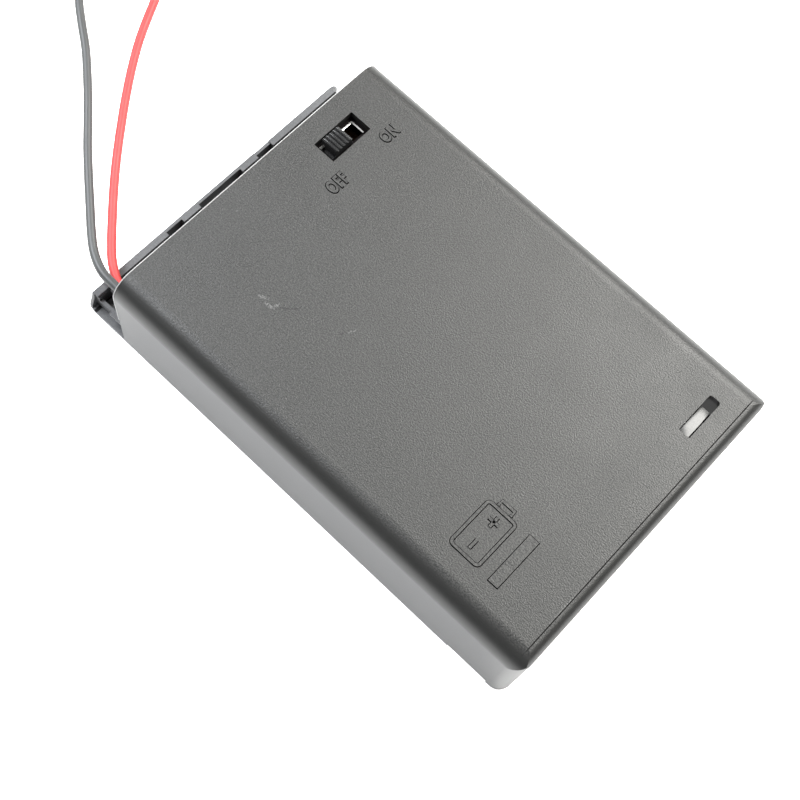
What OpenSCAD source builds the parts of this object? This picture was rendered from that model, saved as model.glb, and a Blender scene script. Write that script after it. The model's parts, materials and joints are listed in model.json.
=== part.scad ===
// Enclosed holder for three AA cells, with a sliding lid underneath, a slide switch and two leads.
// Lengths are in millimetres. X runs along the cells, Y across them and Z up.
// The holder stands on its lid, switch side up, with the lid drawn part of the way out.

/* [Body] */
// Length of the body along the cells
body_len = 68.4; // [67:0.1:74]
// Width of the body across the three cells
body_wid = 48; // [47.4:0.1:52]
// Height from the surface to the flat top
body_high = 17.2; // [17:0.1:19]
// Thickness of the side walls
side_wall = 1.05; // [1:0.05:1.3]
// Thickness of the flat top
roof = 1.1; // [0.9:0.05:1.3]
// Thickness of the wall at the closed end
end_wall = 1.5; // [1.2:0.05:1.6]
// Radius of the two long shoulders
shoulder_r = 3.1; // [2:0.1:4]
// Radius of the top edge at the closed end
end_edge_r = 1.5; // [0.8:0.1:2]
// Radius of the two upright corners at the closed end
corner_r = 2; // [1:0.1:3]

/* [Lid] */
// How far the lid is drawn out of the closed place
lid_open = 6.4; // [0:0.1:20]
// Thickness of the lid's floor
lid_floor = 1.2; // [1:0.05:1.3]
// Thickness of the lid's edge below the side walls
wing = 0.65; // [0.5:0.05:0.7]
// Height of the lid's upright end wall
lid_end_high = 3.4; // [3:0.1:3.5]
// Thickness of the lid's upright end wall
lid_end_wall = 1.3; // [1.2:0.1:1.6]

/* [Cells] */
// Diameter of an AA cell
cell_d = 14.5; // [14.2:0.1:14.5]
// Free length of a contact spring
spring_len = 8; // [7:0.1:8.5]
// Diameter of the spring wire
spring_wire = 0.6; // [0.5:0.05:0.8]
// Thickness of the contact plates
plate = 0.4; // [0.3:0.05:0.5]

/* [Switch] */
// Distance of the switch from the wire end
switch_x = 5.05; // [4.8:0.05:5.3]
// Distance of the switch from the near side
switch_y = 36; // [34:0.1:37]
// Length of the window round the knob
window_len = 7; // [6.8:0.1:7.6]
// Width of the window round the knob
window_wid = 3.5; // [3.2:0.1:3.8]
// Travel of the knob from off to on
switch_travel = 2.4; // [1.8:0.1:2.4]
// Height of the knob above the flat top
knob_proud = 0.8; // [0.4:0.1:1.2]

/* [Leads] */
// Outer diameter of a lead
lead_d = 1.3; // [1.1:0.05:1.4]
// Diameter of the bare tinned strands
strand_d = 0.6; // [0.4:0.05:0.7]
// Length of the bare tinned strands
strand_len = 6; // [4:0.5:8]
// Mean diameter of the coil of spare lead
coil_d = 14; // [13:0.2:15.6]

/* [Hidden] */
$fn = 48;
eps = 0.01;

// Places along the body
lid_lip = 0.6;
foot_len = 2.6;
lid_len = body_len - foot_len - 0.2 + lid_lip;
wire_wall = 1.2;
switch_bay = 8.4;
cross_x = wire_wall + switch_bay;
cross_wall = 1.2;
bay_x0 = cross_x + cross_wall;
bay_x1 = body_len - end_wall;
cross_low = lid_floor + 0.7;
x_mid = (body_len - lid_lip - lid_open) / 2;
y_mid = body_wid / 2;

// Places across and up
wall_low = 0.8;
roof_low = body_high - roof;
inner_wid = body_wid - 2 * side_wall;
pitch = inner_wid / 3;
rib = 1;
rib_high = 5;
function bay_y(i) = side_wall + pitch * (i + 0.5);
bay_z = lid_floor + 0.1 + cell_d / 2;

// Grooves in the side walls and the beads on the lid that run in them
groove_deep = 0.5;
groove_z0 = 1.9;
groove_z1 = 2.9;
rail = 0.45;
rail_gap = 0.1;
rail_high = 2.7;
rail_room = side_wall + rail_gap + rail + 0.2;
bead = 0.3;
bead_in = 3;

// Corners, lip, pockets, gussets and grip ribs of the lid
wing_r = 1;
wing_in = 0.05;
lip_in = 0.9;
lip_r = 0.25;
pocket_rim = 0.45;
pockets = [[14.2, 17.1, 1], [20.3, 28.3, 1], [31.4, 34.3, -0.2]];
gusset_y = 3;
gusset = 0.4;
gusset_len = 1.1;
low_rib = 0.5;
grip_x = 5;
grip_wid = 16;
grip_step = 1.6;
grip_count = 6;
grip_deep = 0.3;

// Openings in the flat top
tongue_x = 63.35;
tongue_y0 = 36.2;
tongue_y1 = 42.6;
tongue_tip = 40.9;
slot_wid = 1.7;
tongue_gap = 0.25;
tongue_drop = 0.8;
tongue_thick = 0.5;
line_in = 1.54;
line_wid = 0.16;
line_deep = 0.12;

// Notch for the two leads in the wire end wall
lead_hole = 1.5;
black_y = 2.6;
black_z = 6.2;
red_y = 4.2;
red_z = 4.9;

// Contacts
plate_low = 3;
plate_high = 12.4;
plate_wid = 12.4;
dimple_d = 5;
dimple_top = 3.4;
dimple_deep = 0.9;
spring_d0 = 9;
spring_d1 = 6;
spring_turns = 4.5;
spring_steps = 14;
guide = 0.9;
tab_wid = 2;
tab_len = 1.2;
near_tab_z = 13.2;
near_joint_x = 65.5;
near_joint_y = 3;
far_tab_y = 39;
far_tab_z = 6;
far_joint_x = 8.9;
clip = 1.8;
lead_gap_z = 13.6;
lead_gap = 2.3;

// Switch
frame_len = 8.8;
frame_wid = 5.6;
frame_t = 0.3;
frame_low = 10.6;
slot_len = 5.8;
stem_len = 3;
stem_wid = 2.1;
knob_wid = 2.6;
knob_ribs = 5;
board_t = 1;
board_z = frame_low + 0.2;
block_z0 = 13.4;
block_high = 2.1;
block_more = 0.7;
side_play = 0.15;
groove_low = 0.4;
contact_wid = 1.2;
contact_t = 0.25;
pin_wid = 0.9;
pin_t = 0.4;
pin_low = 7.6;
pin_pitch = 2.4;
rest_y = switch_y - switch_travel / 2;
solder_d = 1.7;

// Routes, as points chosen by hand
wire_sides = 8;
red_in = [[0, red_y, red_z], [2.4, 4.5, 4.9], [4.2, 6, 4.9], [5, 9, 4.9], [5, 18, 4.9], [5, 28, 4.9],
    [5, 33, 5], [5.05, 35.4, 5.6], [5.05, 36, 6.6], [5.05, 36, 7.5]];
black_in = [[0, black_y, black_z], [2.2, 2.6, 6.2], [3.2, 2.4, 6.8], [3.6, 2.3, 8.4], [3.6, 2.3, 11],
    [3.8, 2.3, 13.6], [4.8, 2.3, 14.8], [7, 2.3, 15], [20, 2.3, 15], [40, 2.3, 15], [60, 2.3, 15],
    [63.4, 2.3, 15], [64.8, 2.5, 14.8], [65.5, 2.9, 14]];
jumper = [[9, 39, 7.1], [8, 39, 7], [6.6, 38.8, 6.4], [5.4, 38.5, 6.5], [5.05, 38.4, 7.5]];
red_out = [[0, red_y, red_z], [-1.6, 4, 4.9], [-3.2, 3.8, 4.9], [-4.8, 4, 4.9], [-8.1, 5.9, 5],
    [-12.4, 10, 5.2], [-17.2, 15, 5.3], [-22, 20.6, 5.3], [-26.6, 26.4, 5.2], [-30.6, 32.2, 5.1],
    [-34, 38.4, 5], [-36.8, 43.6, 4.8], [-38.8, 48.4, 4.4], [-40.2, 53.2, 2.6], [-40.8, 58, 1],
    [-40.9, 61, 0.7], [-40.9, 64, 0.65]];
black_out = [[0, black_y, black_z], [-1.8, 2.8, 6.2], [-4, 3.2, 6.2], [-7, 3.4, 6.1], [-10.6, 5, 5.9],
    [-15.6, 9, 5.7], [-22.4, 14.8, 5.5], [-28, 20, 5.4], [-34.6, 25.6, 5.3], [-41.2, 30.4, 5.2],
    [-45.8, 36, 5], [-49, 42, 4.8], [-50.9, 48.2, 4.5], [-51.9, 53.4, 2.8], [-52.2, 58, 1],
    [-52.3, 61, 0.7], [-52.3, 64, 0.65]];
coil_turns = 1.5;
coil_y = 65.2;
red_coil_at = [-40.9 + coil_d / 2, coil_y, 0];
black_coil_at = [-52.3 - coil_d / 2, coil_y, 0];
tail_y = 2.6;
tail_drop = 1.5;

// Frame of a swept tube: a ring of points round each point of the route
function unit(v) = v / norm(v);
function along(p, i) = unit(p[min(i + 1, len(p) - 1)] - p[max(i - 1, 0)]);
function ring(p, i, r, up, n) = let (t = along(p, i), u = unit(cross(t, up)), v = cross(u, t))
    [for (k = [0:n - 1]) p[i] + r * (cos(360 * k / n) * u + sin(360 * k / n) * v)];

// Points of a smooth curve through the route, with a set number of steps in each stretch
function bend(a, b, c, d, s) = 0.5 * (2 * b + (c - a) * s + (2 * a - 5 * b + 4 * c - d) * s * s
    + (3 * b - a - 3 * c + d) * s * s * s);
function pick(p, i) = p[max(0, min(i, len(p) - 1))];
function smooth(p, m) = [for (i = [0:len(p) - 2], j = [0:m - 1])
    bend(pick(p, i - 1), p[i], p[i + 1], pick(p, i + 2), j / m), p[len(p) - 1]];

// One closed solid swept along the points
module tube(p, d, up = [0, 0, 1], n = wire_sides) {
    rings = [for (i = [0:len(p) - 1]) each ring(p, i, d / 2, up, n)];
    last = (len(p) - 1) * n;
    polyhedron(rings, concat(
        [[for (k = [0:n - 1]) k]],
        [for (i = [0:len(p) - 2], k = [0:n - 1])
            [i * n + k, (i + 1) * n + k, (i + 1) * n + (k + 1) % n, i * n + (k + 1) % n]],
        [[for (k = [n - 1:-1:0]) last + k]]));
}

// Moves from the body's own corner to the middle of the whole holder
module placed() {
    translate([-x_mid, -y_mid, 0]) children();
}

// Section across the body, with rounded long shoulders
module shoulder_section(w, h, r) {
    square([w, h - r]);
    translate([r, 0]) square([w - 2 * r, h]);
    translate([r, h - r]) circle(r);
    translate([w - r, h - r]) circle(r);
}

// Outline along the body, rounded over the closed end
module end_section(l, h, r) {
    square([l - r, h]);
    square([l, h - r]);
    translate([l - r, h - r]) circle(r);
}

// Outline from above, with the two corners of the closed end rounded
module plan_section(l, w, r) {
    square([l - r, w]);
    translate([0, r]) square([l, w - 2 * r]);
    translate([l - r, r]) circle(r);
    translate([l - r, w - r]) circle(r);
}

module along_x(l) {
    rotate([90, 0, 90]) linear_extrude(l) children();
}

module body_outside() {
    intersection() {
        along_x(body_len) shoulder_section(body_wid, body_high, shoulder_r);
        translate([0, body_wid, 0]) rotate([90, 0, 0]) linear_extrude(body_wid)
            end_section(body_len, body_high, end_edge_r);
        linear_extrude(body_high) plan_section(body_len, body_wid, corner_r);
    }
}

module body_cavity() {
    translate([wire_wall, side_wall, -1])
        along_x(bay_x1 - wire_wall) shoulder_section(inner_wid, roof_low + 1, shoulder_r - side_wall);
}

// Room for the lid: under the side walls, under the wire end wall and the grooves for its beads
module lid_room() {
    lid_room_len = body_len - foot_len;
    translate([-1, -1, -1]) cube([lid_room_len + 1, body_wid + 2, wall_low + 1]);
    translate([-1, side_wall, -1]) cube([wire_wall + 2, inner_wid, lid_end_high + 0.3 + 1]);
    for (y = [side_wall - groove_deep, body_wid - side_wall - eps])
        translate([-1, y, groove_z0]) cube([lid_room_len + 1, groove_deep + eps, groove_z1 - groove_z0]);
}

module switch_window() {
    translate([switch_x - window_wid / 2, switch_y - window_len / 2, roof_low - 1])
        cube([window_wid, window_len, roof + 2]);
}

// Slot beside the tongue, rounded at its open end
module tongue_slot() {
    translate([tongue_x - slot_wid / 2, tongue_y0, roof_low - 1])
        linear_extrude(roof + 2) {
            square([slot_wid, tongue_y1 - tongue_y0 - 0.4]);
            translate([0.4, 0]) square([slot_wid - 0.8, tongue_y1 - tongue_y0]);
            translate([0.4, tongue_y1 - tongue_y0 - 0.4]) circle(0.4);
            translate([slot_wid - 0.4, tongue_y1 - tongue_y0 - 0.4]) circle(0.4);
        }
}

// Springy tongue, rooted at the near end of its slot and bent down to its tip
module tongue() {
    w = slot_wid - 2 * tongue_gap;
    l = tongue_tip - tongue_y0;
    translate([tongue_x + w / 2, tongue_y0, 0]) rotate([90, 0, -90]) linear_extrude(w)
        polygon([[eps, body_high - 0.02], [-l * 0.4, body_high - 0.12], [-l, body_high - tongue_drop],
            [-l, body_high - tongue_drop - tongue_thick], [-l * 0.4, body_high - 0.12 - tongue_thick - 0.2],
            [eps, roof_low]]);
}

// Notch for the leads, open towards the lid and rounded above each lead
module lead_notch() {
    long = wire_wall + 2;
    for (at = [[-1, black_y, black_z], [-1, red_y, red_z]])
        translate(at) rotate([0, 90, 0]) cylinder(d = lead_hole, h = long);
    translate([-1, black_y - lead_hole / 2, lid_end_high])
        cube([long, lead_hole, black_z - lid_end_high]);
    translate([-1, black_y, lid_end_high])
        cube([long, red_y - black_y + lead_hole / 2, red_z - lid_end_high]);
}

// Ribs that hang from the top between the cells
module bay_ribs() {
    for (i = [1:2])
        translate([bay_x0 + plate + 0.1, side_wall + pitch * i - rib / 2, roof_low - rib_high])
            cube([bay_x1 - bay_x0 - 2 * plate - 0.2, rib, rib_high + eps]);
}

// Wall between the switch and the cells, open at the wire corner and at the tab of the far plate
module cross_partition() {
    difference() {
        translate([cross_x, side_wall - eps, cross_low])
            cube([cross_wall, inner_wid + 2 * eps, roof_low - cross_low + eps]);
        for (y = [0, body_wid - rail_room])
            translate([cross_x - 1, y, 0]) cube([cross_wall + 2, rail_room, rail_high + 0.3]);
        translate([cross_x - 1, side_wall, lead_gap_z])
            cube([cross_wall + 2, lead_gap, roof_low - lead_gap_z]);
        translate([cross_x - 1, far_tab_y - tab_wid / 2 - 0.2, far_tab_z - 0.4])
            cube([cross_wall + 2, tab_wid + 0.4, 2]);
    }
}

// Upright guides that hold the edges of the contact plates against their wall
module plate_guides(x) {
    hold = pitch / 2 - plate_wid / 2 + 0.5;
    for (y = [side_wall - eps, body_wid - side_wall - hold])
        translate([x, y, plate_low]) cube([guide, hold + eps, plate_high - plate_low]);
    for (i = [1:2])
        translate([x, side_wall + pitch * i - hold, roof_low - rib_high])
            cube([guide, 2 * hold, rib_high + eps]);
}

// Ribs on both sides of the switch
module switch_ribs() {
    for (y = [switch_y - frame_len / 2 - 0.15 - rib, switch_y + frame_len / 2 + 0.15])
        translate([wire_wall - eps, y, frame_low - 1])
            cube([switch_bay + 2 * eps, rib, roof_low - frame_low + 1 + eps]);
}

module body_shell() {
    color("dimgray") placed() {
        difference() {
            body_outside();
            body_cavity();
            lid_room();
            switch_window();
            tongue_slot();
            lead_notch();
            translate([body_len - line_in - line_wid / 2, shoulder_r, body_high - line_deep])
                cube([line_wid, body_wid - 2 * shoulder_r, 1]);
        }
        tongue();
        bay_ribs();
        cross_partition();
        switch_ribs();
        plate_guides(bay_x0 + plate + 0.1);
        plate_guides(bay_x1 - plate - 0.1 - guide);
    }
}

// Rail, bead and gusset at one side of the lid, drawn in the closed place, with their near faces given
module lid_side(rail_y, bead_y, gusset_at) {
    bead_wid = bead + rail_gap + eps;
    gusset_high = lid_end_high - lid_floor;
    translate([-lid_lip, rail_y, 0]) cube([lid_len, rail, rail_high]);
    translate([bead_in, bead_y, groove_z0 + 0.15])
        cube([lid_len - 2 * bead_in, bead_wid, rail_high - groove_z0 - 0.15]);
    translate([lid_end_wall - lid_lip - eps, gusset_at, lid_floor - eps])
        cube([gusset_len, gusset, gusset_high]);
}

// Outline from above, from x on, with its two corners at the wire end rounded
module lid_outline(x, l, in, r) {
    w = body_wid - 2 * in;
    translate([x, in]) {
        translate([r, 0]) square([l - r, w]);
        translate([0, r]) square([l, w - 2 * r]);
        translate([r, r]) circle(r);
        translate([r, w - r]) circle(r);
    }
}

// Hollow behind the end wall of the lid, between y0 and y1
module lid_pocket(y0, y1, rim_high) {
    translate([pocket_rim - lid_lip, y0, lid_floor + 0.2]) cube([lid_end_wall, y1 - y0, lid_end_high]);
    translate([-lid_lip - 1, y0, rim_high]) cube([lid_end_wall + 1, y1 - y0, lid_end_high]);
}

module sliding_lid() {
    color("dimgray") placed() translate([-lid_open, 0, 0]) difference() {
        union() {
            linear_extrude(wing) lid_outline(-lid_lip, lid_len, wing_in, wing_r);
            linear_extrude(lid_end_high) lid_outline(-lid_lip, 2 * lip_r, lip_in, lip_r);
            translate([-lid_lip, side_wall + rail_gap, 0])
                cube([lid_len, inner_wid - 2 * rail_gap, lid_floor]);
            lid_side(side_wall + rail_gap, side_wall - bead, gusset_y);
            lid_side(body_wid - side_wall - rail_gap - rail, body_wid - side_wall - rail_gap - eps,
                body_wid - gusset_y - gusset);
            translate([-lid_lip + lip_r, side_wall + rail_gap, 0])
                cube([lid_end_wall - lip_r, inner_wid - 2 * rail_gap, lid_end_high]);
            for (i = [1:2])
                translate([bay_x0 + 2, side_wall + pitch * i - rib / 2, lid_floor - eps])
                    cube([bay_x1 - bay_x0 - 8, rib, low_rib]);
        }
        for (p = pockets)
            lid_pocket(p[0], p[1], lid_end_high + p[2]);
        for (i = [0:grip_count - 1])
            translate([grip_x + grip_step * i, (body_wid - grip_wid) / 2, -1])
                cube([grip_step / 2, grip_wid, 1 + grip_deep]);
    }
}

// Conical contact spring, standing on a plate at x and pointing along way
module spring(x, way, y) {
    n = ceil(spring_turns * spring_steps);
    pts = [for (i = [0:n])
        let (t = i / n, a = 360 * spring_turns * t, r = (spring_d0 + (spring_d1 - spring_d0) * t) / 2)
            [x + way * (spring_wire / 2 + 0.05 + (spring_len - spring_wire) * t),
             y + r * cos(a), bay_z + r * sin(a)]];
    tube(pts, spring_wire, [1, 0, 0], 6);
}

module spring_near() {
    color("silver") placed() spring(bay_x1 - plate, -1, bay_y(0));
}
module spring_middle() {
    color("silver") placed() spring(bay_x0 + plate, 1, bay_y(1));
}
module spring_far() {
    color("silver") placed() spring(bay_x1 - plate, -1, bay_y(2));
}

// Flat contact plate against a wall, with clipped corners
module flat_plate(x, y0, y1) {
    top = roof_low - 0.2;
    translate([x, 0, 0]) along_x(plate) polygon([[y0 + clip, top], [y1 - clip, top], [y1, top - clip],
        [y1, plate_low + clip], [y1 - clip, plate_low], [y0 + clip, plate_low], [y0, plate_low + clip],
        [y0, top - clip]]);
}

// Raised round contact for the button of a cell
module dimple(x, way, y) {
    translate([x, y, bay_z]) rotate([0, way * 90, 0])
        cylinder(d1 = dimple_d, d2 = dimple_top, h = dimple_deep);
}

module plate_near_negative() {
    color("lightgray") placed() {
        flat_plate(bay_x1 - plate, bay_y(0) - plate_wid / 2, bay_y(0) + plate_wid / 2);
        translate([bay_x1 - plate - tab_len, bay_y(0) - plate_wid / 2, near_tab_z])
            cube([tab_len + eps, tab_wid, plate]);
    }
}
module plate_closed_link() {
    color("lightgray") placed() {
        flat_plate(bay_x1 - plate, bay_y(1) - plate_wid / 2, bay_y(2) + plate_wid / 2);
        dimple(bay_x1 - plate, -1, bay_y(1));
    }
}
module plate_wire_link() {
    color("lightgray") placed() {
        flat_plate(bay_x0, bay_y(0) - plate_wid / 2, bay_y(1) + plate_wid / 2);
        dimple(bay_x0 + plate, 1, bay_y(0));
    }
}
module plate_far_positive() {
    color("lightgray") placed() {
        flat_plate(bay_x0, bay_y(2) - plate_wid / 2, bay_y(2) + plate_wid / 2);
        dimple(bay_x0 + plate, 1, bay_y(2));
        translate([cross_x - tab_len, far_tab_y - tab_wid / 2, far_tab_z])
            cube([cross_wall + tab_len + eps, tab_wid, plate]);
    }
}

module switch_frame() {
    color("silver") placed() translate([switch_x, switch_y, 0]) {
        difference() {
            translate([-frame_wid / 2, -frame_len / 2, frame_low])
                cube([frame_wid, frame_len, roof_low - frame_low]);
            translate([-frame_wid / 2 + frame_t, -frame_len, frame_low - 1])
                cube([frame_wid - 2 * frame_t, 2 * frame_len, roof_low - frame_low + 1 - frame_t]);
            translate([-stem_wid / 2 - 0.1, -slot_len / 2, roof_low - 1])
                cube([stem_wid + 0.2, slot_len, 2]);
        }
    }
}

module switch_board() {
    color("sienna") placed() translate([switch_x, switch_y, board_z]) difference() {
        translate([-frame_wid / 2 + frame_t, -frame_len / 2, 0])
            cube([frame_wid - 2 * frame_t, frame_len, board_t]);
        for (i = [-1:1])
            translate([-pin_wid / 2, i * pin_pitch - pin_t / 2, -1]) cube([pin_wid, pin_t, board_t + 2]);
    }
}

module switch_terminals() {
    color("silver") placed() for (i = [-1:1])
        translate([switch_x - pin_wid / 2, switch_y + i * pin_pitch - pin_t / 2, pin_low])
            cube([pin_wid, pin_t, board_z + board_t + 0.3 - pin_low]);
}

// Knob with cross ribs, its stem and the block that slides inside the frame
module switch_knob() {
    top = body_high + knob_proud;
    step = stem_len / knob_ribs;
    color("dimgray") placed() translate([switch_x, rest_y, 0]) {
        translate([-frame_wid / 2 + frame_t + side_play, -stem_len / 2 - block_more, block_z0])
            cube([frame_wid - 2 * frame_t - 2 * side_play, stem_len + 2 * block_more, block_high]);
        translate([-stem_wid / 2, -stem_len / 2, block_z0])
            cube([stem_wid, stem_len, roof_low - block_z0 + 2 * side_play]);
        translate([-knob_wid / 2, -stem_len / 2, roof_low + side_play])
            cube([knob_wid, stem_len, top - groove_low - roof_low - side_play + eps]);
        for (i = [0:knob_ribs - 1])
            translate([-knob_wid / 2, -stem_len / 2 + i * step, top - groove_low])
                cube([knob_wid, step * 0.55, groove_low]);
    }
}

// Springy bridge under the block, which joins two terminals
module switch_contact() {
    high = block_z0 - contact_t;
    low = board_z + board_t + 0.45;
    color("goldenrod") placed() translate([switch_x - contact_wid / 2, rest_y, 0]) rotate([90, 0, 90])
        linear_extrude(contact_wid) polygon([[-2.1, block_z0], [-2.1, high], [-1.6, low], [-0.9, low],
            [-0.4, high], [0.4, high], [0.9, low], [1.6, low], [2.1, high], [2.1, block_z0]]);
}

module jumper_wire() {
    color("firebrick") placed() tube(smooth(jumper, 2), lead_d - 0.3, [0, 1, 0]);
}
module red_lead_inside() {
    color("firebrick") placed() tube(smooth(red_in, 2), lead_d, [1, -1, 1]);
}
module black_lead_inside() {
    color("black") placed() tube(smooth(black_in, 2), lead_d, [0, 1, 0]);
}
module red_lead() {
    color("firebrick") placed() tube(smooth(red_out, 2), lead_d);
}
module black_lead() {
    color("black") placed() tube(smooth(black_out, 2), lead_d);
}

// Outer shape of the spare turns of a lead
module coil(at) {
    translate(at) rotate_extrude() translate([coil_d / 2 - lead_d / 2, 0])
        square([lead_d, (coil_turns + 1) * lead_d]);
}
module red_coil() {
    color("firebrick") placed() coil(red_coil_at);
}
module black_coil() {
    color("black") placed() coil(black_coil_at);
}

// Bare strands that leave a coil on its far side and slope down to the surface
module bare_end(at, way) {
    translate(at + [way * coil_d / 2, -tail_y, strand_d / 2 + tail_drop])
        rotate([90 + asin(tail_drop / strand_len), 0, 0]) cylinder(d = strand_d, h = strand_len);
}
module red_bare_end() {
    color("silver") placed() bare_end(red_coil_at, 1);
}
module black_bare_end() {
    color("silver") placed() bare_end(black_coil_at, -1);
}

// Rounded drops of solder where a wire meets a terminal or a tab
module solder_joints() {
    color("silver") placed() for (at = [[switch_x, switch_y, pin_low], [switch_x, switch_y + pin_pitch, pin_low],
        [far_joint_x, far_tab_y, far_tab_z + plate], [near_joint_x, near_joint_y, near_tab_z + plate]])
        translate(at) sphere(d = solder_d);
}

body_shell();
sliding_lid();
spring_near();
spring_middle();
spring_far();
plate_near_negative();
plate_closed_link();
plate_wire_link();
plate_far_positive();
switch_frame();
switch_board();
switch_terminals();
switch_knob();
switch_contact();
jumper_wire();
red_lead_inside();
black_lead_inside();
solder_joints();
red_lead();
black_lead();
red_coil();
black_coil();
red_bare_end();
black_bare_end();
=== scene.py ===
"""Looks of an enclosed AA battery holder with a sliding lid, a slide switch and two leads.

Lengths are written in millimetres in the body's own corner frame, as in the part's source: x = 0 is the wire
end, y = 0 the near side and z = 0 the surface. at() turns them into metres in the shared frame.
"""
import json
import math
import random

import bpy
import bmesh
from mathutils import Matrix, Vector


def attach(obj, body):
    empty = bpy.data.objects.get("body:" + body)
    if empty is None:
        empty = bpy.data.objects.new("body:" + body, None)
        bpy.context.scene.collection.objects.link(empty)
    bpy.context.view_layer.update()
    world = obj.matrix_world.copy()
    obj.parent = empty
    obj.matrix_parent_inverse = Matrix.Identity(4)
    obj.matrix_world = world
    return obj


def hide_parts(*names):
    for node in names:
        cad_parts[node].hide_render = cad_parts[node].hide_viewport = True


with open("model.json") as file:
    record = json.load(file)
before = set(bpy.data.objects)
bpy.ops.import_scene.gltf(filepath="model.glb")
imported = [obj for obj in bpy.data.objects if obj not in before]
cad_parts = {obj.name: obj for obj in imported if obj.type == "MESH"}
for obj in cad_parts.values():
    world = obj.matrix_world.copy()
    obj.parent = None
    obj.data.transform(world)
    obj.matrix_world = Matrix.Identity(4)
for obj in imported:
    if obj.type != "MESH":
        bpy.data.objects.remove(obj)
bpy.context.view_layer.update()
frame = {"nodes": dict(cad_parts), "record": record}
nodes = frame["nodes"]
random.seed(7)

MM = 0.001
X_MID, Y_MID = 30.7, 24.0
TOP = 17.2
SHOULDER_R = 3.1
LEAD_R = 0.65


def at(x, y, z):
    return Vector(((x - X_MID) * MM, (y - Y_MID) * MM, z * MM))


def new_object(name, data, body="holder"):
    obj = bpy.data.objects.new(name, data)
    bpy.context.scene.collection.objects.link(obj)
    if body:
        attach(obj, body)
    return obj


# Camera, at the photo's angle
cam_data = bpy.data.cameras.new("camera")
cam_data.sensor_width = 36
cam_data.lens = 62.242
cam_data.clip_start = 0.005
cam_data.clip_end = 20
cam = bpy.data.objects.new("camera", cam_data)
bpy.context.scene.collection.objects.link(cam)
right = Vector((0.727773, 0.680576, 0.084628))
down = Vector((0.663552, -0.667577, -0.337697))
ahead = Vector((-0.173333, 0.301922, -0.937443))
turn = Matrix((right, -down, -ahead)).transposed().to_4x4()
cam.matrix_world = Matrix.Translation(at(64.665, -36.413, 175.598)) @ turn
bpy.context.scene.camera = cam


# Leads, along the routes of the part's source
def bend(a, b, c, d, s):
    return 0.5 * (2 * b + (c - a) * s + (2 * a - 5 * b + 4 * c - d) * s * s + (3 * b - a - 3 * c + d) * s ** 3)


def smooth(points, steps):
    p = [Vector(q) for q in points]
    out = []
    for i in range(len(p) - 1):
        for j in range(steps):
            out.append(bend(p[max(i - 1, 0)], p[i], p[i + 1], p[min(i + 2, len(p) - 1)], j / steps))
    return out + [p[-1]]


RED_OUT = [(0, 4.2, 4.9), (-1.6, 4, 4.9), (-3.2, 3.8, 4.9), (-4.8, 4, 4.9), (-8.1, 5.9, 5), (-12.4, 10, 5.2),
           (-17.2, 15, 5.3), (-22, 20.6, 5.3), (-26.6, 26.4, 5.2), (-30.6, 32.2, 5.1), (-34, 38.4, 5),
           (-36.8, 43.6, 4.8), (-38.8, 48.4, 4.4), (-40.2, 53.2, 2.6), (-40.8, 58, 1), (-40.9, 61, 0.7),
           (-40.9, 64, 0.65)]
BLACK_OUT = [(0, 2.6, 6.2), (-1.8, 2.8, 6.2), (-4, 3.2, 6.2), (-7, 3.4, 6.1), (-10.6, 5, 5.9), (-15.6, 9, 5.7),
             (-22.4, 14.8, 5.5), (-28, 20, 5.4), (-34.6, 25.6, 5.3), (-41.2, 30.4, 5.2), (-45.8, 36, 5),
             (-49, 42, 4.8), (-50.9, 48.2, 4.5), (-51.9, 53.4, 2.8), (-52.2, 58, 1), (-52.3, 61, 0.7),
             (-52.3, 64, 0.65)]
COIL_R, COIL_Y, COIL_TURNS, COIL_RISE = 7.0, 65.2, 1.5, 1.333


def as_mesh(name, data, body, smooth_faces=True):
    """The finished mesh of a curve or text, as its own object."""
    tmp = bpy.data.objects.new(name, data)
    bpy.context.scene.collection.objects.link(tmp)
    bpy.context.view_layer.update()
    mesh = bpy.data.meshes.new_from_object(tmp.evaluated_get(bpy.context.evaluated_depsgraph_get()))
    bpy.data.objects.remove(tmp)
    bpy.data.curves.remove(data)
    mesh.name = name
    for f in mesh.polygons:
        f.use_smooth = smooth_faces
    return new_object(name, mesh, body)


def curve(name, splines, radius, body="holder", resolution=4, caps=True):
    data = bpy.data.curves.new(name, "CURVE")
    data.dimensions = "3D"
    data.bevel_depth = radius * MM
    data.bevel_resolution = resolution
    data.use_fill_caps = caps
    for points, closed in splines:
        spline = data.splines.new("POLY")
        spline.points.add(len(points) - 1)
        for q, p in zip(spline.points, points):
            q.co = (*at(*p), 1)
        spline.use_cyclic_u = closed
    return as_mesh(name, data, body)


def coil_point(centre_x, start, way, turns, out=0.0):
    a = math.radians(start) + way * turns * 2 * math.pi
    return Vector((centre_x + (COIL_R + out) * math.cos(a), COIL_Y + (COIL_R + out) * math.sin(a),
                   LEAD_R + COIL_RISE * turns))


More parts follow.
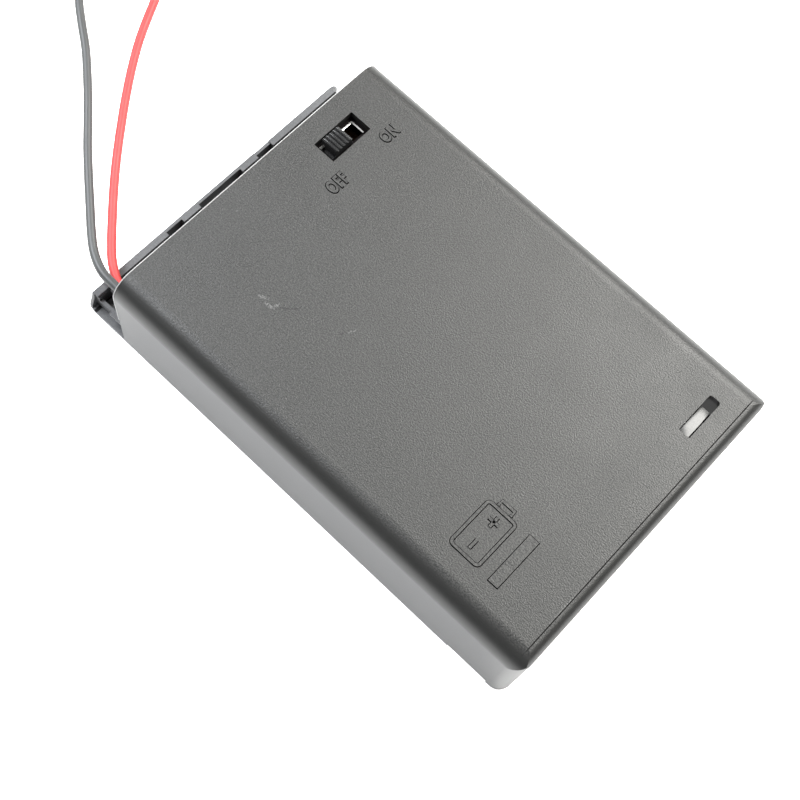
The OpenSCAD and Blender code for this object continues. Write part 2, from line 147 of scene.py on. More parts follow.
def tie(name, centre_x, start, way, turns):
    """A thin band round both layers of the coil, turns along from its start."""
    low = coil_point(centre_x, start, way, turns)
    mid = low + Vector((0, 0, COIL_RISE / 2))
    out = (mid - Vector((centre_x, COIL_Y, mid.z))).normalized()
    out.z = 0
    out.normalize()
    tangent = Vector((-out.y, out.x, 0))
    bm = bmesh.new()
    rows = []
    count = 28
    for i in range(count):
        a = 2 * math.pi * i / count
        c, s = math.cos(a), math.sin(a)
        for_ring = []
        for thick in (0.03, 0.17):
            r = LEAD_R + thick
            up = r * s + math.copysign(COIL_RISE / 2, s) * (1 if abs(s) > 0.01 else 0)
            p = mid + out * (r * c) + Vector((0, 0, up))
            for side in (-0.55, 0.55):
                for_ring.append(bm.verts.new(at(*(p + tangent * side))))
        rows.append(for_ring)
    for i in range(count):
        a, b = rows[i], rows[(i + 1) % count]
        for j, k in ((0, 1), (1, 3), (3, 2), (2, 0)):
            bm.faces.new((a[j], a[k], b[k], b[j]))
    bmesh.ops.recalc_face_normals(bm, faces=bm.faces)
    data = bpy.data.meshes.new(name)
    bm.to_mesh(data)
    bm.free()
    return new_object(name, data, "holder")


def strands(name, centre_x, way_x):
    """Seven tinned strands twisted together, sloping from the coil to the surface."""
    begin = Vector((centre_x + way_x * COIL_R, COIL_Y - 2.5, 1.82))
    end = Vector((centre_x + way_x * COIL_R, COIL_Y - 2.6 - 5.8, 0.34))
    ahead = (end - begin).normalized()
    side = ahead.cross(Vector((0, 0, 1))).normalized()
    up = side.cross(ahead)
    splines = []
    for k in range(7):
        points = []
        for i in range(31):
            t = i / 30
            a = 2 * math.pi * (k / 6 + 1.6 * t)
            r = 0 if k == 6 else 0.19 + 0.02 * math.sin(9 * t + k)
            points.append(begin.lerp(end, t) + side * (r * math.cos(a)) + up * (r * math.sin(a)))
        splines.append((points, False))
    return curve(name, splines, 0.1, resolution=2)


def lead(colour, route, centre_x, start, way):
    """The insulated lead from the wall to the end of its coil, with its ties and bare strands."""
    way_x = 1 if way < 0 else -1
    turn_steps = 24
    end_x, top = centre_x + way_x * COIL_R, LEAD_R + COIL_RISE * COIL_TURNS
    points = smooth(route, 2)
    points += [coil_point(centre_x, start, way, i / turn_steps) for i in range(int(COIL_TURNS * turn_steps) + 1)]
    points += [Vector((end_x, COIL_Y - 0.8, top - 0.06)), Vector((end_x, COIL_Y - 1.7, top - 0.38)),
               Vector((end_x, COIL_Y - 2.6, 1.82))]
    piece = curve(colour + "_lead_piece", [(smooth(points, 4), False)], LEAD_R,
                  resolution=6)
    bare = strands(colour + "_strands", centre_x, way_x)
    bands = [tie(colour + "_tie_" + str(i), centre_x, start, way, t) for i, t in enumerate((0.13, 0.37))]
    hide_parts(colour + "_lead", colour + "_coil")
    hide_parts(colour + "_bare_end")
    return piece, bare, bands


red_lead, red_bare, red_ties = lead("red", RED_OUT, -33.9, 180, -1)
black_lead, black_bare, black_ties = lead("black", BLACK_OUT, -59.3, 0, 1)


# Materials
def node_material(name):
    mat = bpy.data.materials.new(name)
    mat.use_nodes = True
    tree = mat.node_tree
    shader = tree.nodes["Principled BSDF"]
    return mat, tree, shader


def add(tree, kind, **values):
    node = tree.nodes.new(kind)
    for key, value in values.items():
        if hasattr(node, key):
            setattr(node, key, value)
        else:
            node.inputs[key.replace("_", " ")].default_value = value
    return node


def ramp(tree, fac, stops):
    node = tree.nodes.new("ShaderNodeValToRGB")
    while len(node.color_ramp.elements) > 1:
        node.color_ramp.elements.remove(node.color_ramp.elements[-1])
    for i, (pos, col) in enumerate(stops):
        e = node.color_ramp.elements[0] if i == 0 else node.color_ramp.elements.new(pos)
        e.position = pos
        e.color = col if len(col) == 4 else (*col, 1)
    tree.links.new(fac, node.inputs["Fac"])
    return node


def marks(tree, coord, places):
    """A factor that is 1 inside small slanted ellipses: (x, y, half length, half width, angle in degrees)."""
    link = tree.links.new
    total = None
    for x, y, half_len, half_wid, angle in places:
        place = add(tree, "ShaderNodeMapping", vector_type="TEXTURE")
        place.inputs["Location"].default_value = at(x, y, TOP)
        place.inputs["Rotation"].default_value = (0, 0, math.radians(angle))
        place.inputs["Scale"].default_value = (half_len * MM, half_wid * MM, 1 * MM)
        link(coord, place.inputs["Vector"])
        size = add(tree, "ShaderNodeVectorMath", operation="LENGTH")
        link(place.outputs["Vector"], size.inputs[0])
        inside = add(tree, "ShaderNodeMapRange")
        inside.inputs["From Min"].default_value = 1.0
        inside.inputs["From Max"].default_value = 0.6
        link(size.outputs["Value"], inside.inputs["Value"])
        if total is None:
            total = inside.outputs["Result"]
        else:
            both = add(tree, "ShaderNodeMath", operation="MAXIMUM")
            link(total, both.inputs[0])
            link(inside.outputs["Result"], both.inputs[1])
            total = both.outputs["Value"]
    return total


def mixed(tree, fac, a, b):
    """Colour a turning into colour b as fac goes from 0 to 1; a is a socket, b a colour."""
    node = add(tree, "ShaderNodeMix", data_type="RGBA")
    tree.links.new(fac, node.inputs["Factor"])
    tree.links.new(a, node.inputs[6])
    node.inputs[7].default_value = (*b, 1)
    return node.outputs[2]


def between(tree, value, low, high):
    """1 where value lies between low and high, else 0."""
    node = add(tree, "ShaderNodeMath", operation="COMPARE")
    tree.links.new(value, node.inputs[0])
    node.inputs[1].default_value = (low + high) / 2
    node.inputs[2].default_value = (high - low) / 2
    return node.outputs["Value"]


def plastic(name, dark, light, rough_flat, rough_round, grain=0.25, depth=0.06, strength=0.9, pale_scuffs_and_highlight=(), deep=(),
            band=(), specular=0.5):
    """Black moulding whose flat top has a fine grain; its round and upright faces are smoother. Those faces have no
    grain and a plain tone set darker than the top's as painted shade, and an optional band paints a black strip of
    painted shade across the flat faces.
    """
    mat, tree, shader = node_material(name)
    link = tree.links.new
    coord = add(tree, "ShaderNodeTexCoord")
    here = coord.outputs["Object"]
    cloud = add(tree, "ShaderNodeTexNoise", Scale=110.0, Detail=4.0, Roughness=0.6)
    fine = add(tree, "ShaderNodeTexNoise", Scale=1000.0 / grain, Detail=2.0, Roughness=0.6)
    for noise in (cloud, fine):
        link(here, noise.inputs["Vector"])
    parts = add(tree, "ShaderNodeSeparateXYZ")
    link(coord.outputs["Normal"], parts.inputs["Vector"])
    flat = add(tree, "ShaderNodeMapRange")
    flat.inputs["From Min"].default_value = 0.86
    flat.inputs["From Max"].default_value = 0.99
    link(parts.outputs["Z"], flat.inputs["Value"])
    is_flat = flat.outputs["Result"]
    colour = ramp(tree, fine.outputs["Fac"], [(0.36, dark), (0.68, light)]).outputs["Color"]
    plain = add(tree, "ShaderNodeMath", operation="SUBTRACT")
    plain.inputs[0].default_value = 1.0
    link(is_flat, plain.inputs[1])
    # round and upright faces get a plain tone without grain, set darker than the grained top's mean: painted shade
    smooth_shaded_tone = tuple(0.7 * a + 0.3 * b for a, b in zip(dark, light))
    colour = mixed(tree, plain.outputs["Value"], colour, smooth_shaded_tone)
    # light marks: scuffs and dust, and one painted highlight beside the closed-end groove, broken up by the grain
    if pale_scuffs_and_highlight:
        wear_and_highlight_grain = add(tree, "ShaderNodeMapRange")
        wear_and_highlight_grain.inputs["From Min"].default_value = 0.42
        wear_and_highlight_grain.inputs["From Max"].default_value = 0.62
        link(fine.outputs["Fac"], wear_and_highlight_grain.inputs["Value"])
        patchy = add(tree, "ShaderNodeMath", operation="MULTIPLY")
        link(marks(tree, here, pale_scuffs_and_highlight), patchy.inputs[0])
        link(wear_and_highlight_grain.outputs["Result"], patchy.inputs[1])
        colour = mixed(tree, patchy.outputs["Value"], colour, (0.09, 0.09, 0.088))
    if deep:
        colour = mixed(tree, marks(tree, here, deep), colour, (0.002, 0.002, 0.002))
    inside = None
    # band paints a near-black, fully rough strip across the flat faces between two x values: painted shade
    if band:
        spot = add(tree, "ShaderNodeSeparateXYZ")
        link(here, spot.inputs["Vector"])
        across = between(tree, spot.outputs["X"], at(band[0], 0, 0).x, at(band[1], 0, 0).x)
        band_shade_mask = add(tree, "ShaderNodeMath", operation="MULTIPLY")
        link(across, band_shade_mask.inputs[0])
        link(is_flat, band_shade_mask.inputs[1])
        inside = band_shade_mask.outputs["Value"]
        colour = mixed(tree, inside, colour, (0.002, 0.002, 0.002))
    shader.inputs["Specular IOR Level"].default_value = specular
    link(colour, shader.inputs["Base Color"])
    rough = add(tree, "ShaderNodeMapRange")
    rough.inputs["From Min"].default_value = 0.3
    rough.inputs["From Max"].default_value = 0.7
    rough.inputs["To Min"].default_value = rough_flat - 0.05
    rough.inputs["To Max"].default_value = rough_flat + 0.05
    link(cloud.outputs["Fac"], rough.inputs["Value"])
    choose = add(tree, "ShaderNodeMix", data_type="FLOAT")
    link(is_flat, choose.inputs["Factor"])
    choose.inputs[2].default_value = rough_round
    link(rough.outputs["Result"], choose.inputs[3])
    finish = choose.outputs[0]
    if inside:
        dull = add(tree, "ShaderNodeMath", operation="MAXIMUM")
        link(inside, dull.inputs[0])
        link(finish, dull.inputs[1])
        finish = dull.outputs["Value"]
    link(finish, shader.inputs["Roughness"])
    height = add(tree, "ShaderNodeMath", operation="MULTIPLY")
    link(fine.outputs["Fac"], height.inputs[0])
    link(is_flat, height.inputs[1])
    bump = add(tree, "ShaderNodeBump", Strength=strength, Distance=depth * MM)
    link(height.outputs["Value"], bump.inputs["Height"])
    link(bump.outputs["Normal"], shader.inputs["Normal"])
    return mat


def metal(name, colour, rough, scale=400.0, stretch=(1, 1, 1)):
    """Plated or tinned metal with fine rubbing marks and slight tarnish."""
    mat, tree, shader = node_material(name)
    link = tree.links.new
    coord = add(tree, "ShaderNodeTexCoord")
    place = add(tree, "ShaderNodeMapping")
    place.inputs["Scale"].default_value = stretch
    link(coord.outputs["Object"], place.inputs["Vector"])
    marks = add(tree, "ShaderNodeTexNoise", Scale=scale, Detail=4.0, Roughness=0.65)
    link(place.outputs["Vector"], marks.inputs["Vector"])
    darker = tuple(0.72 * c for c in colour)
    tint = ramp(tree, marks.outputs["Fac"], [(0.3, darker), (0.62, colour)])
    link(tint.outputs["Color"], shader.inputs["Base Color"])
    shader.inputs["Metallic"].default_value = 1.0
    spread = add(tree, "ShaderNodeMapRange")
    spread.inputs["To Min"].default_value = rough * 0.7
    spread.inputs["To Max"].default_value = rough * 1.5
    link(marks.outputs["Fac"], spread.inputs["Value"])
    link(spread.outputs["Result"], shader.inputs["Roughness"])
    bump = add(tree, "ShaderNodeBump", Strength=0.25, Distance=0.02 * MM)
    link(marks.outputs["Fac"], bump.inputs["Height"])
    link(bump.outputs["Normal"], shader.inputs["Normal"])
    return mat


def insulation(name, colour, rough):
    """Soft wire insulation with faint draw marks and handling dust."""
    mat, tree, shader = node_material(name)
    link = tree.links.new
    coord = add(tree, "ShaderNodeTexCoord")
    noise = add(tree, "ShaderNodeTexNoise", Scale=260.0, Detail=4.0, Roughness=0.6)
    link(coord.outputs["Object"], noise.inputs["Vector"])
    darker = tuple(0.82 * c for c in colour)
    tint = ramp(tree, noise.outputs["Fac"], [(0.3, darker), (0.65, colour)])
    link(tint.outputs["Color"], shader.inputs["Base Color"])
    spread = add(tree, "ShaderNodeMapRange")
    spread.inputs["To Min"].default_value = rough * 0.8
    spread.inputs["To Max"].default_value = rough * 1.3
    link(noise.outputs["Fac"], spread.inputs["Value"])
    link(spread.outputs["Result"], shader.inputs["Roughness"])
    bump = add(tree, "ShaderNodeBump", Strength=0.2, Distance=0.03 * MM)
    link(noise.outputs["Fac"], bump.inputs["Height"])
    link(bump.outputs["Normal"], shader.inputs["Normal"])
    return mat


# Scuffs, dust, a painted highlight beside the closed-end groove and a dark scratch on the top, as (x, y, half length,
# half width, angle)
PALE_SCUFFS_AND_HIGHLIGHT = [(14.0, 12.5, 0.8, 0.3, 20), (15.3, 12.2, 0.9, 0.3, 5), (16.0, 12.9, 0.5, 0.3, 60),
        (25.0, 17.0, 0.6, 0.15, 70), (3.2, 18.6, 0.15, 0.12, 0), (3.0, 14.2, 0.13, 0.11, 0),
        (3.22, 31.9, 0.15, 0.12, 0), (20.4, 30.2, 0.12, 0.1, 0), (42.6, 22.8, 0.12, 0.1, 0),
        # the last entry, at (66.7, 9.4), is a painted highlight along the -X edge of the closed-end groove
        (51.5, 36.4, 0.12, 0.11, 0), (66.7, 9.4, 0.08, 3.2, 0)]
DEEP = [(16.9, 13.3, 0.9, 0.16, 35), (17.9, 14.2, 0.5, 0.12, 50), (24.3, 15.9, 0.4, 0.15, 70),
        (35.4, 27.5, 0.2, 0.12, 10)]
# band=(66.78, 66.92) paints a black line across the top near the closed end: painted shade in the fine groove there
m_body = plastic("body_plastic", (0.004, 0.004, 0.004), (0.032, 0.032, 0.030), 0.43, 0.42, 0.2, pale_scuffs_and_highlight=PALE_SCUFFS_AND_HIGHLIGHT, deep=DEEP,
                 band=(66.78, 66.92))
# The lid's grey, lighter than the body's black, is painted light standing in for the light its strip and wings
# reflect. band=(-6.0, -5.5) paints a black line along the lid's end strip: painted shadow of the gap under the body's
# wire-end edge.
m_lid = plastic("lid_plastic", (0.06, 0.061, 0.064), (0.085, 0.087, 0.091), 0.45, 0.42, 0.25, 0.02, 0.3,
                band=(-6.0, -5.5))
m_knob = plastic("knob_plastic", (0.015, 0.015, 0.015), (0.03, 0.03, 0.03), 0.2, 0.2, 0.2, 0.02, 0.3, specular=1.0)
# light grey plastic for the bead round the wire end: painted highlight
m_edge_painted_highlight = plastic("wire_edge_painted_highlight", (0.3, 0.3, 0.3), (0.42, 0.42, 0.42), 0.25, 0.25, 0.3, 0.004, 0.1)
m_tongue = plastic("tongue_plastic", (0.02, 0.02, 0.02), (0.03, 0.03, 0.03), 0.2, 0.2, 0.5, 0.004, 0.1)
m_nickel = metal("nickel", (0.72, 0.70, 0.66), 0.22)
m_rim = metal("slot_rim", (0.92, 0.91, 0.88), 0.3)
# near-black metal for the switch frame's face: painted shade
m_face_painted_shade = metal("frame_face_painted_shade", (0.008, 0.007, 0.007), 0.5)
m_spring = metal("spring_wire", (0.68, 0.69, 0.70), 0.2)
m_tin = metal("tinned", (0.74, 0.74, 0.75), 0.32, 900.0)
m_brass = metal("contact_brass", (0.78, 0.54, 0.22), 0.26)
m_board = plastic("laminate", (0.05, 0.02, 0.01), (0.09, 0.045, 0.02), 0.5, 0.6, 0.5, 0.02, 0.3)
m_red = insulation("red_insulation", (0.46, 0.027, 0.026), 0.5)
m_black = insulation("black_insulation", (0.04, 0.042, 0.043), 0.45)

BY_SLOT = {"black_plastic": m_body, "spring_steel": m_spring, "nickel_plate": m_nickel, "board": m_board,
           "contact_brass": m_brass, "tin": m_tin, "red_insulation": m_red, "black_insulation": m_black}
BY_NODE = {"sliding_lid": m_lid, "switch_knob": m_knob}


def paint(obj, mat):
    if obj.material_slots:
        for s in obj.material_slots:
            s.link = "OBJECT"
            s.material = mat
    else:
        obj.data.materials.append(mat)


for part in frame["record"]["subparts"]:
    paint(nodes[part["node"]], BY_NODE.get(part["node"], BY_SLOT[part["material_slot"]]))
paint(red_lead, m_red)
paint(black_lead, m_black)
for obj in (red_bare, black_bare):
    paint(obj, m_tin)
for obj in red_ties + black_ties:
    paint(obj, m_black)


# Raised lettering and marks on the top
def mesh_piece(name, bm, mats, body="holder"):
    bmesh.ops.recalc_face_normals(bm, faces=bm.faces)
    data = bpy.data.meshes.new(name)
    bm.to_mesh(data)
    bm.free()
    obj = new_object(name, data, body)
    for m in mats:
        data.materials.append(m)
    return obj


# Near-black, fully rough and unreflecting: painted shade for the walls of raised marks and for the tongue's edges and
# flanks
m_side_painted_shade = plastic("raised_side_painted_shade", (0.002, 0.002, 0.002), (0.004, 0.004, 0.004), 0.9, 0.9, strength=0.2, specular=0.0)


SLOPE = 0.11


def raised(name, boxes, high=0.13):
    """Flat-topped bars with sloping walls that stand on the top, (x0, x1, y0, y1) in mm."""
    bm = bmesh.new()
    for x0, x1, y0, y1 in boxes:
        loop = rect(x0, x1, y0, y1)
        low = [bm.verts.new(at(x, y, TOP - 0.01)) for x, y in rect(x0 - SLOPE, x1 + SLOPE, y0 - SLOPE, y1 + SLOPE)]
        up = [bm.verts.new(at(x, y, TOP + high)) for x, y in loop]
        bm.faces.new(up).material_index = 0
        bm.faces.new(list(reversed(low))).material_index = 1
        n = len(loop)
        for i in range(n):
            bm.faces.new((low[i], low[(i + 1) % n], up[(i + 1) % n], up[i])).material_index = 1
    # the walls and underside take the painted-shade material
    return mesh_piece(name, bm, [m_body, m_side_painted_shade])


def rect(x0, x1, y0, y1):
    return [(x0, y0), (x1, y0), (x1, y1), (x0, y1)]


raised("plain_bar", [(58.05, 59.52, 5.5, 13.05)])


def word(name, text, x_base, y_start, high, wide):
    """A raised word with sloping walls that reads along +Y with its letter tops towards the wire end."""
    data = bpy.data.curves.new(name, "FONT")
    data.body = text
    data.size = 1.0
    data.offset = 0.03
    data.extrude = 0.01
    data.bevel_depth = 0.05
    data.bevel_resolution = 0
    data.resolution_u = 4
    data.space_character = 1.12
    obj = as_mesh(name, data, "holder", False)
    mesh = obj.data
    lowest = [min(v.co[i] for v in mesh.vertices) for i in range(3)]
    highest = [max(v.co[i] for v in mesh.vertices) for i in range(3)]
    size = [b - a for a, b in zip(lowest, highest)]
    for v in mesh.vertices:
        u, w, t = ((v.co[i] - lowest[i]) / size[i] for i in range(3))
        v.co = at(x_base - w * high, y_start + u * wide, TOP + (0.13 if t > 0.9 else -0.01))
    mesh.update()
    mesh.materials.clear()
    mesh.materials.append(m_body)
    # the letter walls take the painted-shade material
    mesh.materials.append(m_side_painted_shade)
    for face in mesh.polygons:
        face.material_index = 0 if abs(face.normal.z) > 0.95 else 1
    return obj


word("word_on", "ON", 10.0, 39.3, 2.0, 2.75)
word("word_off", "OFF", 10.4, 28.95, 2.2, 3.2)


def stroke(points, wide, closed=False):
    """Outlines of a strip of even width along a line, one quadrilateral for each stretch."""
    out = []
    count = len(points) if closed else len(points) - 1
    n = len(points)

    def offset(i):
        p = Vector(points[i % n])
        before = Vector(points[(i - 1) % n]) if closed or i > 0 else p
        after = Vector(points[(i + 1) % n]) if closed or i < n - 1 else p
        d = (after - before).normalized()
        return p + Vector((-d.y, d.x)) * wide / 2, p - Vector((-d.y, d.x)) * wide / 2

    for i in range(count):
        a, b = offset(i)
        c, d = offset(i + 1)
        out.append([tuple(b), tuple(a), tuple(c), tuple(d)])
    return out


def arc(cx, cy, r, a0, a1, n=6):
    return [(cx + r * math.cos(math.radians(a0 + (a1 - a0) * i / n)),
             cy + r * math.sin(math.radians(a0 + (a1 - a0) * i / n))) for i in range(n + 1)]


def strip(name, lines, wide=0.42, high=0.13):
    """A raised line drawing as one closed solid for each line."""
    bm = bmesh.new()
    for points, closed in lines:
        edges = []
        for across in (wide + 2 * SLOPE, wide):
            quads = stroke(points, across, closed)
            edges.append([(q[1], q[0]) for q in quads] + ([] if closed else [(quads[-1][2], quads[-1][3])]))
        verts = []
        for (a, b), (c, d) in zip(*edges):
            verts.append([bm.verts.new(at(*a, TOP - 0.01)), bm.verts.new(at(*c, TOP + high)),
                          bm.verts.new(at(*d, TOP + high)), bm.verts.new(at(*b, TOP - 0.01))])
        n = len(verts)
        for i in range(n if closed else n - 1):
            u, v = verts[i], verts[(i + 1) % n]
            for j in range(4):
                f = bm.faces.new((u[j], u[(j + 1) % 4], v[(j + 1) % 4], v[j]))
                f.material_index = 0 if j == 1 else 1
        if not closed:
            bm.faces.new(verts[0]).material_index = 1
            bm.faces.new(list(reversed(verts[-1]))).material_index = 1
    # the walls and ends take the painted-shade material
    return mesh_piece(name, bm, [m_body, m_side_painted_shade])


# A plain outline of a round cell with its button, a plus and a minus
cell = arc(55.6, 6.3, 0.5, -90, 0) + arc(55.6, 12.3, 0.5, 0, 90) + arc(52.2, 12.3, 0.5, 90, 180) \
    + arc(52.2, 6.3, 0.5, 180, 270)
strip("cell_mark", [(cell, True),
                    ([(52.9, 13.1), (52.9, 13.9), (54.9, 13.9), (54.9, 13.1)], False),
                    ([(53.9, 10.4), (53.9, 12.0)], False),
                    ([(53.1, 11.2), (54.7, 11.2)], False),
                    ([(53.9, 6.8), (53.9, 8.2)], False)], 0.36)


def box_mesh(bm, x0, x1, y0, y1, z0, z1):
    corner = [[[bm.verts.new(at(x, y, z)) for z in (z0, z1)] for y in (y0, y1)] for x in (x0, x1)]
    c = corner
    for q in ((c[0][0][0], c[0][1][0], c[1][1][0], c[1][0][0]), (c[0][0][1], c[1][0][1], c[1][1][1], c[0][1][1]),
              (c[0][0][0], c[1][0][0], c[1][0][1], c[0][0][1]), (c[0][1][0], c[0][1][1], c[1][1][1], c[1][1][0]),
              (c[0][0][0], c[0][0][1], c[0][1][1], c[0][1][0]), (c[1][0][0], c[1][1][0], c[1][1][1], c[1][0][1])):
        bm.faces.new(q)


def loft(bm, rows, closed_rows=True):
    """Quads between rows of points; each row is a closed loop, and the first and last rows are capped."""
    made = [[bm.verts.new(at(*p)) for p in row] for row in rows]
    n = len(rows[0])
    faces = []
    for a, b in zip(made, made[1:]):
        for i in range(n if closed_rows else n - 1):
            faces.append(bm.faces.new((a[i], a[(i + 1) % n], b[(i + 1) % n], b[i])))
    bm.faces.new(list(reversed(made[0])))
    bm.faces.new(made[-1])
    return faces


def round_edges(obj, width, index=-1, angle=40, steps=2):
    mod = obj.modifiers.new("round_edges", "BEVEL")
    mod.width = width * MM
    mod.segments = steps
    mod.limit_method = "ANGLE"
    mod.angle_limit = math.radians(angle)
    mod.material = index
    return mod


def soften(obj, angle=35):
    for face in obj.data.polygons:
        face.use_smooth = True
    obj.data.set_sharp_from_angle(angle=math.radians(angle))


# Switch: the knob with rounded ribs, and the stamped frame with its bright slot edge and its face in near-black metal
# as painted shade
SWITCH_X, SWITCH_Y, REST_Y = 5.05, 36.0, 35.0
KNOB_TOP, KNOB_LEN, KNOB_HALF = 18.0, 3.0, 1.3


def knob():
    rib = [(-0.02, -0.38), (0.0, -0.16), (0.06, -0.05), (0.15, 0.0), (0.24, -0.05), (0.31, -0.16), (0.34, -0.38)]
    lip = [(0.0, -1.75), (0.0, -0.36), (0.03, -0.18), (0.1, -0.05), (0.2, 0.0), (0.3, -0.05), (0.36, -0.16),
           (0.39, -0.38)]
    outline = lip + [(0.6 * i + y, z) for i in range(1, 5) for y, z in rib] + [(KNOB_LEN, -0.4), (KNOB_LEN, -1.75)]
    start = REST_Y - KNOB_LEN / 2
    bm = bmesh.new()
    loft(bm, [[(SWITCH_X + side, start + y, KNOB_TOP + z - (drop if z > -0.3 else 0)) for y, z in outline]
              for side, drop in ((-KNOB_HALF, 0.14), (-KNOB_HALF + 0.04, 0.05), (-KNOB_HALF + 0.12, 0),
                                 (KNOB_HALF - 0.12, 0), (KNOB_HALF - 0.04, 0.05), (KNOB_HALF, 0.14))])
    box_mesh(bm, SWITCH_X - 1.0, SWITCH_X + 1.0, start + 0.1, start + KNOB_LEN - 0.4, 15.5, 16.25)
    box_mesh(bm, SWITCH_X - 2.35, SWITCH_X + 2.35, start - 0.7, start + KNOB_LEN + 0.7, 13.4, 15.5)
    piece = mesh_piece("knob_ribbed", bm, [m_knob], "knob")
    soften(piece)
    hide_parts("switch_knob")


def switch_frame():
    def loop(x, y, z, lean=0.0, lean_far=0.0):
        return [(SWITCH_X - x + lean, SWITCH_Y - y, z), (SWITCH_X + x, SWITCH_Y - y, z),
                (SWITCH_X + x, SWITCH_Y + y - lean_far, z), (SWITCH_X - x + lean_far, SWITCH_Y + y - lean_far, z)]
    rows = [loop(1.05, 2.9, 16.1, -0.32, -0.15), loop(2.8, 4.4, 16.1), loop(2.8, 4.4, 10.6), loop(2.5, 4.1, 10.6),
            loop(2.5, 4.1, 15.8), loop(1.45, 3.2, 15.8), loop(1.45, 3.2, 15.5), loop(1.15, 2.9, 15.5), loop(1.05, 2.9, 15.98)]
    bm = bmesh.new()
    made = [[bm.verts.new(at(*p)) for p in row] for row in rows]
    for r in range(len(made)):
        a, b = made[r], made[(r + 1) % len(made)]
        for i in range(4):
            face = bm.faces.new((a[i], a[(i + 1) % 4], b[(i + 1) % 4], b[i]))
            face.material_index = 1 if r == len(made) - 1 and i in (2, 3) else 0
    # the face takes the painted-shade near-black metal; the slot's -X and +Y walls take the bright rim metal
    piece = mesh_piece("frame_stamped", bm, [m_face_painted_shade, m_rim], "holder")
    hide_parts("switch_frame")


def tongue():
    """The polished, gently bent face of the springy tongue. Its edges and the flanks that fill the slot's gaps take
    the near-black material as painted shade.
    """
    x0, x1, root, tip = 62.6, 64.02, 36.2, 40.95
    rows = []
    for i in range(17):
        t = i / 16
        z = TOP + 0.0 + 0.103 * t - 0.883 * t * t
        y = root + (tip - root) * t
        rows.append([(62.52, y, z - 0.5), (64.18, y, z - 0.5), (64.18, y, z - 0.4), (x1, y, z - 0.4),
                     (x1, y, z - 0.02), (x1 - 0.06, y, z), (x0 + 0.06, y, z), (x0, y, z - 0.02),
                     (x0, y, z - 0.4), (62.52, y, z - 0.4)])
    bm = bmesh.new()
    loft(bm, rows)
    piece = mesh_piece("tongue_face", bm, [m_tongue, m_side_painted_shade])
    # edges and the flanks filling the slot's gaps take the painted-shade material
    for face in piece.data.polygons:
        face.material_index = 0 if face.center.z > at(0, 0, 16.2).z and abs(face.normal.x) < 0.6 else 1
    tops = [f for f in piece.data.polygons if f.normal.z > 0.7]
    for face in tops:
        face.material_index = 0 if x0 * MM < face.center.x + X_MID * MM < x1 * MM else 1
    soften(piece, 50)


def lid_corners():
    """The curved ends of the lid's lip, which run down into the two wings."""
    near = [(0.16, 0.02), (0.22, 0.9), (0.45, 1.6), (0.75, 2.5), (0.98, 3.38), (1.4, 3.38), (1.4, 0.02)]
    far = [(0.15, 0.02), (0.12, 2.2), (0.2, 2.9), (0.75, 3.38), (1.4, 3.38), (1.4, 0.02)]
    for name, way, edge in (("lid_corner_near", 1, near), ("lid_corner_far", -1, far)):
        bm = bmesh.new()
        loft(bm, [[(x, y if way > 0 else 48 - y, z) for y, z in edge] for x in (-6.99, -6.42)])
        piece = mesh_piece(name, bm, [m_lid], "lid")
        round_edges(piece, 0.12)


def coil_spring(name, x, way, y):
    """A smooth conical spring where the plain one stands."""
    turns, length, wire, wide, narrow, height = 4.5, 8.0, 0.6, 9.0, 6.0, 8.55
    steps = 160
    points = []
    for i in range(steps + 1):
        t = i / steps
        a, r = 2 * math.pi * turns * t, (wide + (narrow - wide) * t) / 2
        points.append((x + way * (wire / 2 + 0.05 + (length - wire) * t), y + r * math.cos(a),
                       height + r * math.sin(a)))
    piece = curve(name + "_wire", [(points, False)], wire / 2, resolution=3)
    paint(piece, m_spring)
    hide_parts(name)


knob()
switch_frame()
tongue()
lid_corners()
for spring, x, way, y in (("spring_near", 66.5, -1, 8.7), ("spring_middle", 11.2, 1, 24.0),
                          ("spring_far", 66.5, -1, 39.3)):
    coil_spring(spring, x, way, y)


def wire_end_edge():
    """A thin light-grey bead round the wire end's top edge: a painted highlight for the fine line of light that the
    sharp moulded edge catches.
    """
    r, high = SHOULDER_R, TOP - SHOULDER_R
    near = [(0, r - r * math.cos(math.radians(a)), high + r * math.sin(math.radians(a))) for a in range(0, 91, 6)]
    path = [(0, 0, z) for z in (7.5, 10.0, high - 0.5)] + near
    path += [(0, 48 - y, z) for x, y, z in reversed(path)]
    edge = curve("wire_end_edge", [(path, False)], 0.07, resolution=1)
    paint(edge, m_edge_painted_highlight)


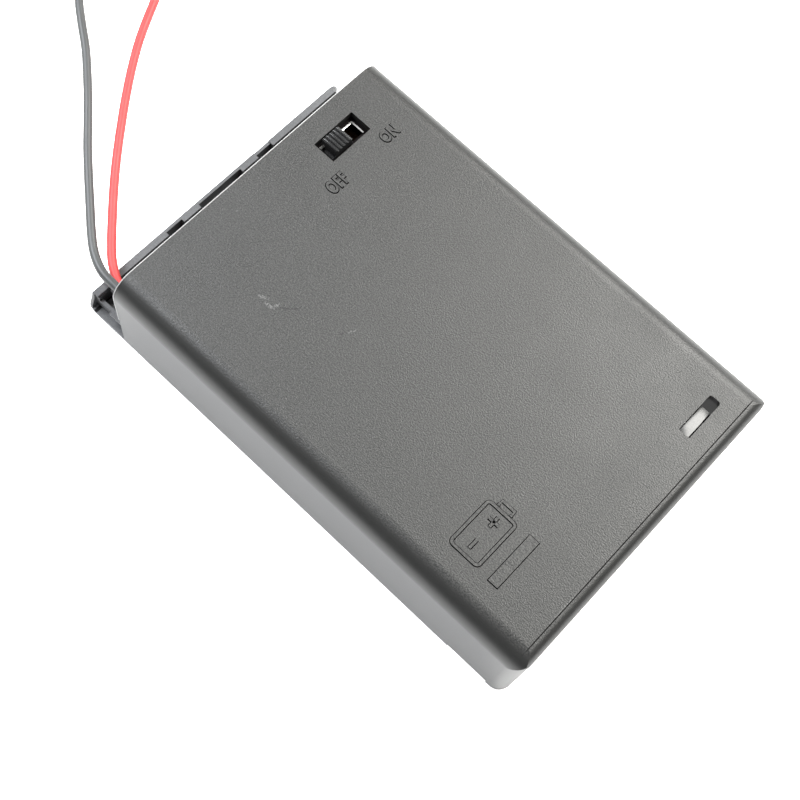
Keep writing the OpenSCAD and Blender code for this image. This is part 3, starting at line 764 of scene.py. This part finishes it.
wire_end_edge()


# Floor, light and world
def floor():
    bm = bmesh.new()
    bmesh.ops.create_grid(bm, x_segments=4, y_segments=4, size=1.2)
    data = bpy.data.meshes.new("floor")
    bm.to_mesh(data)
    bm.free()
    obj = new_object("floor", data, None)
    mat, tree, shader = node_material("floor_paper")
    shader.inputs["Base Color"].default_value = (0.92, 0.92, 0.915, 1)
    shader.inputs["Roughness"].default_value = 0.8
    shader.inputs["Specular IOR Level"].default_value = 0.2
    shader.inputs["Emission Color"].default_value = (1, 1, 0.995, 1)
    shader.inputs["Emission Strength"].default_value = 0.75
    data.materials.append(mat)


floor()

world = bpy.data.worlds.new("studio")
bpy.context.scene.world = world
world.use_nodes = True
sky = world.node_tree
direction = add(sky, "ShaderNodeTexCoord")
split = add(sky, "ShaderNodeSeparateXYZ")
sky.links.new(direction.outputs["Generated"], split.inputs["Vector"])
shade = ramp(sky, split.outputs["Z"], [(0.0, (0.02, 0.02, 0.02)), (0.35, (0.06, 0.06, 0.065)), (0.75, (0.5, 0.5, 0.5)),
                                       (1.0, (0.7, 0.7, 0.7))])
backdrop = mixed(sky, add(sky, "ShaderNodeLightPath").outputs["Is Camera Ray"], shade.outputs["Color"], (0.93, 0.93, 0.93))
sky.links.new(backdrop, sky.nodes["Background"].inputs["Color"])
sky.nodes["Background"].inputs["Strength"].default_value = 1.0
bpy.context.scene.view_settings.view_transform = "Standard"


def area(name, place, target, size, power, colour):
    data = bpy.data.lights.new(name, "AREA")
    data.shape = "RECTANGLE"
    data.size, data.size_y = size
    data.energy = power
    data.color = colour
    obj = bpy.data.objects.new(name, data)
    bpy.context.scene.collection.objects.link(obj)
    obj.location = place
    obj.rotation_euler = (Vector(target) - Vector(place)).to_track_quat("-Z", "Y").to_euler()


area("key", (0.12, 0.41, 0.47), (0.01, 0, 0), (0.5, 0.4), 10.5, (1, 0.99, 0.95))
area("left", (-0.42, -0.08, 0.42), (0, 0, 0), (0.35, 0.3), 6.5, (0.93, 0.96, 1))
